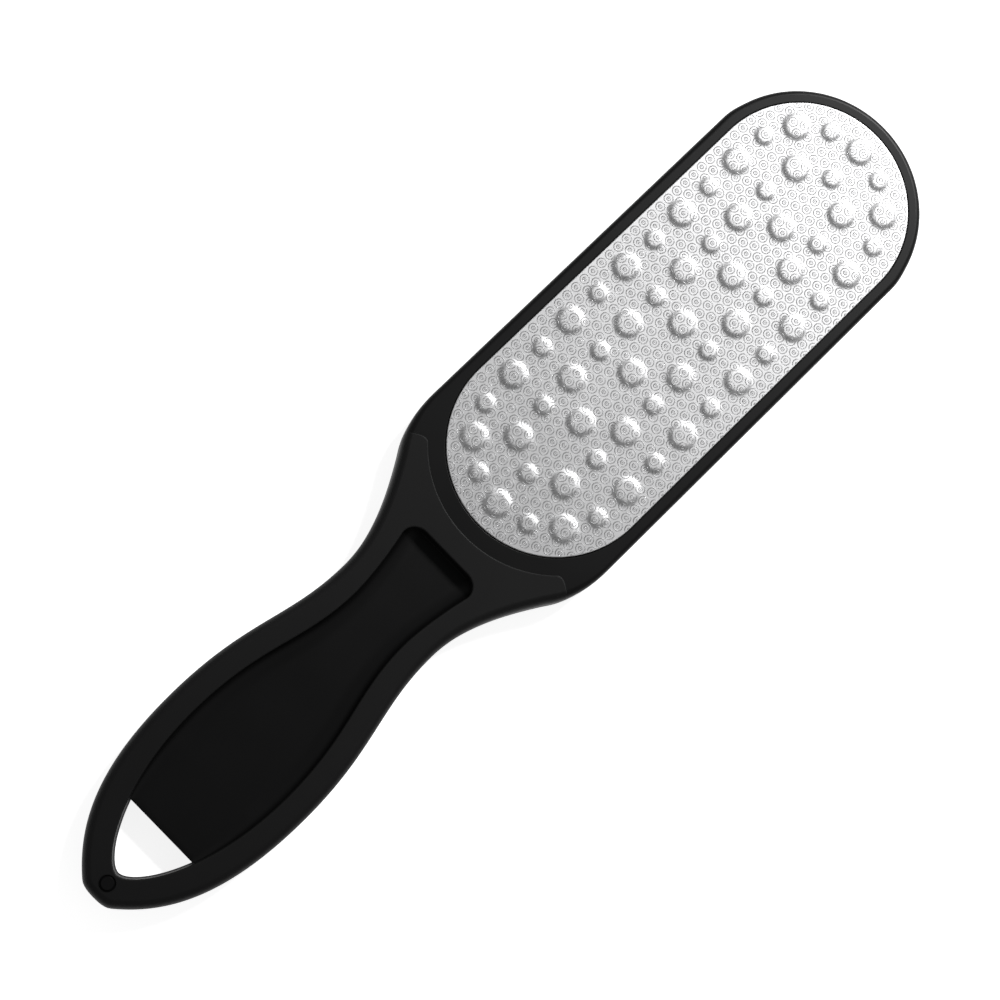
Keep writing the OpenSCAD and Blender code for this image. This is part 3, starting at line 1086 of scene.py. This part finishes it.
@dataclass
class FilePlates:
    """The two metal plates, with the rings pressed all over them."""

    gauge: Gauge
    core: Core
    dome_pitch: float = 9.4
    outer_row_y: float = 18.8
    mid_row_y: float = 8.8
    row_end_margin: float = 17.4
    outer_draw_in: float = 0.3
    mid_draw_in: float = 1.05
    axis_pitch: float = 17
    axis_end_margin: float = 29
    corner_big: Pair = (13.2, 14.8)
    corner_small: Pair = (8, 8.2)
    end_big_back: float = 6.2
    end_small_back: float = 16.1
    dome_shift: Pair = (0.3, 0.2)
    dome_share: float = 0.69
    small_drop: float = 0.04
    sharp_angle: float = 60
    ring_pitch: float = 2.84
    ring_row: float = 2.452
    ring_shift: Pair = (-0.55, -0.9)
    ring_r: float = 1.12
    inner_ring_r: float = 0.46
    ridge_w: float = 0.24
    ridge_h: float = 0.045
    ring_margin: float = 0.15
    big: Dome = field(init=False)
    small: Dome = field(init=False)

    def __post_init__(self) -> None:
        """Works out the domes' heights, as a share of the height that the plate's own top leaves."""
        full = (self.gauge.crest - self.gauge.thickness - self.ridge_h) * self.dome_share
        self.big = Dome(foot_r=3.7, top_r=2.25, height=full, sides=40)
        self.small = Dome(foot_r=2.65, top_r=1.35, height=full - self.small_drop, sides=32)

    def places(self) -> list[tuple[Dome, Pair]]:
        """Finds the domes' places: four rows, the plate's axis, and its round ends.

        Returns:
            Every dome with its place, counted from the plate's middle.
        """
        half = (self.gauge.plate_x1 - self.gauge.plate_x0) / 2
        rows = int((half - self.row_end_margin) / self.dome_pitch)
        evens = int((half - self.axis_end_margin) / self.axis_pitch)
        found = []
        for k in range(-rows, rows + 1):
            last = abs(k) == rows
            outer = self.outer_row_y - (self.outer_draw_in if last else 0)
            mid = self.mid_row_y - (self.mid_draw_in if last else 0)
            outer_dome, mid_dome = (self.big, self.small) if k % 2 == 0 else (self.small, self.big)
            for sign in (-1, 1):
                found += [(outer_dome, (k * self.dome_pitch, sign * outer)),
                          (mid_dome, (k * self.dome_pitch, sign * mid))]
        for end in (-1, 1):
            for dome, (back, y) in ((self.big, self.corner_big), (self.small, self.corner_small)):
                found += [(dome, (end * (half - back), sign * y)) for sign in (-1, 1)]
            for dome, back in ((self.big, self.end_big_back), (self.small, self.end_small_back)):
                found.append((dome, (end * (half - back), 0)))
        found += [(self.big, (k * self.axis_pitch, 0)) for k in range(-evens, evens + 1)]
        return [(dome, (x + self.dome_shift[0], y + self.dome_shift[1])) for dome, (x, y) in found]

    def sheet(self, side: Side) -> Object:
        """Makes one plate's sheet, with its domes if it is the front one.

        Args:
            side: The face that the plate lies on.

        Returns:
            The sheet.
        """
        gauge = self.gauge
        edge = self.core.seat(0)
        lines = round_insets(edge, self.core.edge_break)
        middle = (gauge.plate_x0 + gauge.plate_x1) / 2
        domes = self.places() if side is Side.FRONT else []
        for dome, (x, y) in domes:
            lines += dome.rings((middle + x, y))
        spots, tris = triangles(lines, lambda p: depth(p, edge) > 0)
        rise = -rounding(depth(spots, edge), self.core.edge_break)
        for dome, (x, y) in domes:
            away = np.linalg.norm(spots - [middle + x, y], axis=1)
            rise = np.maximum(rise, np.where(rise < 0, rise, 0) + dome.rise(away))
        if side is Side.FRONT:
            top = gauge.thickness + rise
            body = closed_body(spots, tris, top, top - gauge.sheet_t)
            sheet = Piece.make("domed_file_sheet", gauge, body, NICKEL, self.sharp_angle)
            Piece.settle(sheet, "file_plate", "front_plate")
        else:
            body = closed_body(spots, tris, np.full(len(spots), gauge.sheet_t), self.ridge_h - rise)
            sheet = Piece.make("flat_file_sheet", gauge, body, NICKEL, self.sharp_angle)
            Piece.settle(sheet, "file_plate", "rear_plate")
        return sheet

    @staticmethod
    def ring_tree() -> NodeTree:
        """The Geometry Nodes tree that lays rings on a sheet in a hexagonal lattice.

        Returns:
            The tree, with named inputs for its sizes, in metres.
        """
        known = bpy.data.node_groups.get("ring_lattice")
        if known:
            return known
        tree = bpy.data.node_groups.new("ring_lattice", "GeometryNodeTree")
        for name, kind in RING_INPUTS.items():
            tree.interface.new_socket(name, in_out="INPUT", socket_type="NodeSocket" + kind)
        tree.interface.new_socket("Geometry", in_out="OUTPUT", socket_type="NodeSocketGeometry")
        RingNodes(tree).build()
        return tree

    def rings(self, name: str, sheet: Object, side: Side) -> None:
        """Lays the rings on one plate.

        Args:
            name: The piece's name.
            sheet: The sheet that they follow.
            side: The face that the plate lies on.
        """
        gauge = self.gauge
        holder = in_scene(name + "_source", bpy.data.meshes.new(name))
        to_middle = Matrix.Translation((((gauge.plate_x0 + gauge.plate_x1) - gauge.length) / 2 * MM, 0, 0))
        target = sheet.copy()
        target.data = sheet.data.copy()
        target.data.transform(to_middle.inverted())
        modifier = holder.modifiers.new("rings", "NODES")
        modifier.node_group = self.ring_tree()
        half = (gauge.plate_x1 - gauge.plate_x0) / 2
        values = {
            "Sheet": target, "Finish": RING_NICKEL.material(), "Pitch": self.ring_pitch * MM,
            "Row Spacing": self.ring_row * MM, "Shift": (*(way * MM for way in self.ring_shift), 0),
            "Ring Radius": self.ring_r * MM, "Inner Radius": self.inner_ring_r * MM,
            "Ridge Width": self.ridge_w * MM, "Ridge Height": self.ridge_h * MM,
            "End X": (half - gauge.plate_r) * MM, "End Radius": (gauge.plate_r - self.ring_margin) * MM,
            "Facing": float(side.value),
        }
        for item in modifier.node_group.interface.items_tree:
            if item.in_out == "INPUT":
                modifier[item.identifier] = values[item.name]
        holder.update_tag()
        bpy.context.view_layer.update()
        graph = bpy.context.evaluated_depsgraph_get()
        mesh = bpy.data.meshes.new_from_object(holder.evaluated_get(graph))
        holder.modifiers.clear()
        mesh.name = name
        mesh.transform(to_middle)
        mesh.shade_smooth()
        mesh.update()
        bpy.data.objects.remove(holder)
        bpy.data.objects.remove(target)
        rings = in_scene(name, mesh)
        Piece.settle(rings, "file_plate")

    def build(self) -> None:
        """Makes both plates with their rings."""
        self.rings("front_rings", self.sheet(Side.FRONT), Side.FRONT)
        self.rings("rear_rings", self.sheet(Side.BACK), Side.BACK)


@dataclass(frozen=True)
class Studio:
    """The floor, the lamp and the camera, with places in millimetres in the frame."""

    lens: float = 85
    clip: Pair = (0.01, 100)
    camera_place: Triple = (-102.12, 0.13, 543.1)
    camera_turn: Triple = (7.478, -7.601, -44.663)
    floor_size: float = 12000
    floor_glow: float = 0.84
    floor_colour: Triple = (0.8, 0.8, 0.8)
    overhead_light: float = 0.07
    horizon_light: float = 0.4
    ceiling_spread: float = 4
    key_place: Triple = (850, 0, 850)
    key_size: float = 220
    key_power: float = 12.2

    def camera(self) -> None:
        """Puts the camera at the photograph's viewing angle."""
        data = bpy.data.cameras.new("camera")
        data.lens = self.lens
        data.clip_start, data.clip_end = self.clip
        camera = in_scene("camera", data)
        camera.location = Vector(self.camera_place) * MM
        camera.rotation_euler = Euler([math.radians(a) for a in self.camera_turn])
        bpy.context.scene.camera = camera

    def world(self) -> None:
        """Surrounds the tool with soft light, dim overhead and paler towards the horizon."""
        world = bpy.data.worlds.new("studio")
        kit = Sockets.of(world)
        upward = kit.parts(kit.node("ShaderNodeTexCoord").outputs["Generated"])["Z"]
        level = kit.out("ShaderNodeMapRange", {
            "Value": kit.math("POWER", kit.math("ABSOLUTE", upward), self.ceiling_spread),
            "To Min": self.horizon_light, "To Max": self.overhead_light,
        })
        light = kit.out("ShaderNodeBackground", {"Strength": level})
        kit.node("ShaderNodeOutputWorld", {"Surface": light})
        bpy.context.scene.world = world

    def floor(self) -> None:
        """Lays the pale floor, which glows for the camera and keeps the tool's shadow."""
        half = self.floor_size / 2 * MM
        mesh = bpy.data.meshes.new("floor")
        mesh.from_pydata([(-half, -half, 0), (half, -half, 0), (half, half, 0), (-half, half, 0)], [],
                         [(0, 1, 2, 3)])
        material = bpy.data.materials.new("pale_floor")
        kit = Sockets.of(material)
        path = kit.node("ShaderNodeLightPath").outputs
        seen = kit.math("MAXIMUM", path["Is Camera Ray"], path["Is Glossy Ray"])
        seen = kit.math("MAXIMUM", seen, path["Is Transmission Ray"])
        glow = kit.out("ShaderNodeEmission", {"Strength": kit.times(seen, self.floor_glow)})
        matt = kit.out("ShaderNodeBsdfDiffuse", {"Color": (*self.floor_colour, 1)})
        both = kit.out("ShaderNodeAddShader", {0: matt, 1: glow})
        kit.node("ShaderNodeOutputMaterial", {"Surface": both})
        mesh.materials.append(material)
        floor = in_scene("floor", mesh)

    def lamp(self) -> None:
        """Hangs the one lamp, a soft square that faces the tool."""
        data = bpy.data.lights.new("key", "AREA")
        data.shape = "SQUARE"
        data.size = self.key_size * MM
        data.energy = self.key_power
        lamp = in_scene("key", data)
        lamp.location = Vector(self.key_place) * MM
        lamp.rotation_euler = (-lamp.location).to_track_quat("-Z", "Y").to_euler()

    def build(self) -> None:
        """Sets up the whole studio."""
        bpy.context.scene.view_settings.view_transform = "Standard"
        self.world()
        self.camera()
        self.floor()
        self.lamp()


def main() -> None:
    """Builds the foot file, its finishes and the studio."""
    logging.basicConfig(level=logging.INFO, format="%(name)s: %(message)s")
    gauge = Gauge.read()
    outline = Outline(gauge)
    zone = Zone(gauge)
    pocket = Pocket(gauge, outline)
    core = Core(gauge, outline, zone, pocket)
    core.build()
    Grip(gauge, outline, zone, pocket).build()
    FilePlates(gauge, core).build()
    for node in ("front_adhesive", "rear_adhesive"):
        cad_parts[node].data.materials.clear()
        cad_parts[node].data.materials.append(FILM.material())
    Studio().build()


if __name__ == "__main__":
    main()
